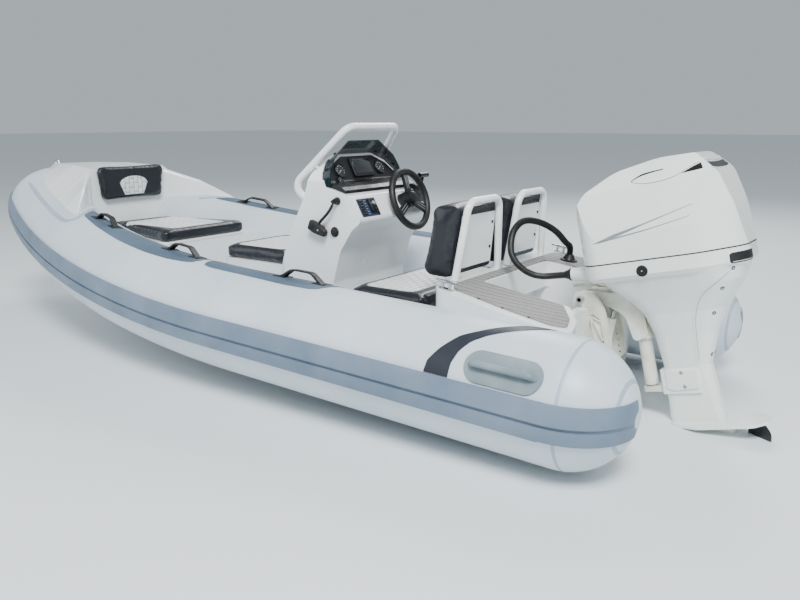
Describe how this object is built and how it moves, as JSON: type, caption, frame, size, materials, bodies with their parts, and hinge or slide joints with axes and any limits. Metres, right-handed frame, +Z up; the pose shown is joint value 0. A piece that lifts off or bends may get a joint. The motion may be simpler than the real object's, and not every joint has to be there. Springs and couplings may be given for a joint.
{
  "type": "rigid inflatable boat with console and outboard",
  "caption": "Rigid inflatable boat: grey tubes on a deep-V hull, centre console with rail, seats, and a tilting, steering outboard.",
  "frame": {"origin": "where the waterline meets the outer face of the transom, on the centreline", "axes": "+X forward to the bow, +Y to port, +Z up"},
  "size_m": [5.1694, 2.11, 1.5826],
  "materials": {
    "hypalon_grey": "satin",
    "strake_rubber": "satin",
    "hull_gelcoat": "gloss",
    "white_gelcoat": "gloss",
    "upholstery": "satin",
    "white_plastic": "satin",
    "white_tube": "gloss",
    "smoked_screen": "gloss",
    "black_plastic": "satin",
    "black_hose": "matte",
    "deck_pad": "matte",
    "stainless": "satin",
    "grey_rubber": "satin",
    "black_strap": "matte",
    "engine_white": "gloss",
    "engine_block": "satin",
    "propeller_black": "satin"
  },
  "bodies": {
    "boat": {"tube_port": "hypalon_grey", "tube_starboard": "hypalon_grey", "tube_bow": "hypalon_grey", "strake_port": "strake_rubber", "strake_starboard": "strake_rubber", "strake_bow": "strake_rubber", "hull": "hull_gelcoat", "transom": "hull_gelcoat", "cockpit_floor": "white_gelcoat", "aft_deck": "white_gelcoat", "bow_pod": "white_gelcoat", "bow_locker": "white_gelcoat", "console": "white_gelcoat", "bench_base": "white_gelcoat", "front_seat_base": "white_gelcoat", "bow_backrest": "upholstery", "front_seat_pad": "upholstery", "back_pads": "upholstery", "back_plates": "white_plastic", "hoop_port": "white_tube", "hoop_starboard": "white_tube", "console_rail": "white_tube", "windscreen": "smoked_screen", "instrument_panel": "black_plastic", "throttle": "black_plastic", "helm_hub": "black_plastic", "hose_gland": "black_plastic", "hose_fixed": "black_hose", "hose_moving": "black_hose", "teak_pads": "deck_pad", "bow_cleat": "stainless", "stern_cleats": "stainless", "grab_pads": "grey_rubber", "handles_port": "black_strap", "handles_starboard": "black_strap", "clamp_brackets": "engine_white", "bracket_pins": "stainless"},
    "swivel": {"swivel_bracket": "engine_white"},
    "outboard": {"leg_casing": "engine_white", "gearcase": "engine_white", "lower_pan": "engine_white", "cowl": "engine_white", "powerhead": "engine_block", "steering_arm": "stainless", "rigging_sleeve": "white_plastic"},
    "propeller": {"propeller": "propeller_black"},
    "helm": {"steering_wheel": "black_plastic"},
    "cylinder": {"tilt_cylinder": "engine_white"},
    "ram": {"tilt_rod": "stainless"},
    "bow_lid": {"bow_lid": "white_gelcoat", "bow_cushion": "upholstery"},
    "front_seat_lid": {"front_seat_lid": "white_gelcoat", "front_seat_cushion": "upholstery"},
    "bench_lid": {"bench_lid": "white_gelcoat", "bench_cushion": "upholstery"}
  },
  "joints": [
    {"name": "tilt", "type": "hinge", "parent": "boat", "child": "swivel", "pos_m": [-0.016, 0, 0.512], "axis": [0, 1, 0], "range_deg": [-14, 50], "deforming": ["hose_fixed"]},
    {"name": "steering", "type": "hinge", "parent": "swivel", "child": "outboard", "pos_m": [-0.23231, 0, 0.56194], "axis": [0.225, 0, 0.9744], "range_deg": [-30, 30], "deforming": ["hose_moving"]},
    {"name": "propeller_spin", "type": "hinge", "parent": "outboard", "child": "propeller", "pos_m": [-0.80719, 0, -0.06994], "axis": [0.9744, 0, -0.225], "continuous": true},
    {"name": "helm_wheel", "type": "hinge", "parent": "boat", "child": "helm", "pos_m": [1.05, -0.1, 0.885], "axis": [-0.9511, 0, 0.309], "range_deg": [-630, 630]},
    {"name": "cylinder_swing", "type": "hinge", "parent": "boat", "child": "cylinder", "pos_m": [-0.092, 0, 0.232], "axis": [0, 1, 0], "range_deg": [-12, 12]},
    {"name": "ram_slide", "type": "slide", "parent": "cylinder", "child": "ram", "axis": [-0.1657, 0, 0.9862], "range_m": [-0.035, 0.11]},
    {"name": "bow_lid_hinge", "type": "hinge", "parent": "boat", "child": "bow_lid", "pos_m": [3.195, 0, 0.5605], "axis": [0, 1, 0], "range_deg": [0, 70]},
    {"name": "front_seat_hinge", "type": "hinge", "parent": "boat", "child": "front_seat_lid", "pos_m": [2.115, 0, 0.5085], "axis": [0, 1, 0], "range_deg": [0, 90]},
    {"name": "bench_hinge", "type": "hinge", "parent": "boat", "child": "bench_lid", "pos_m": [0.61, 0, 0.4055], "axis": [0, -1, 0], "range_deg": [0, 50]}
  ],
  "couplings": [
    {"joint": "helm_wheel", "follows": "steering", "ratio": 21},
    {"joint": "cylinder_swing", "follows": "tilt", "ratio": 0.03438},
    {"joint": "ram_slide", "follows": "tilt", "m_per_rad": 0.1165}
  ]
}
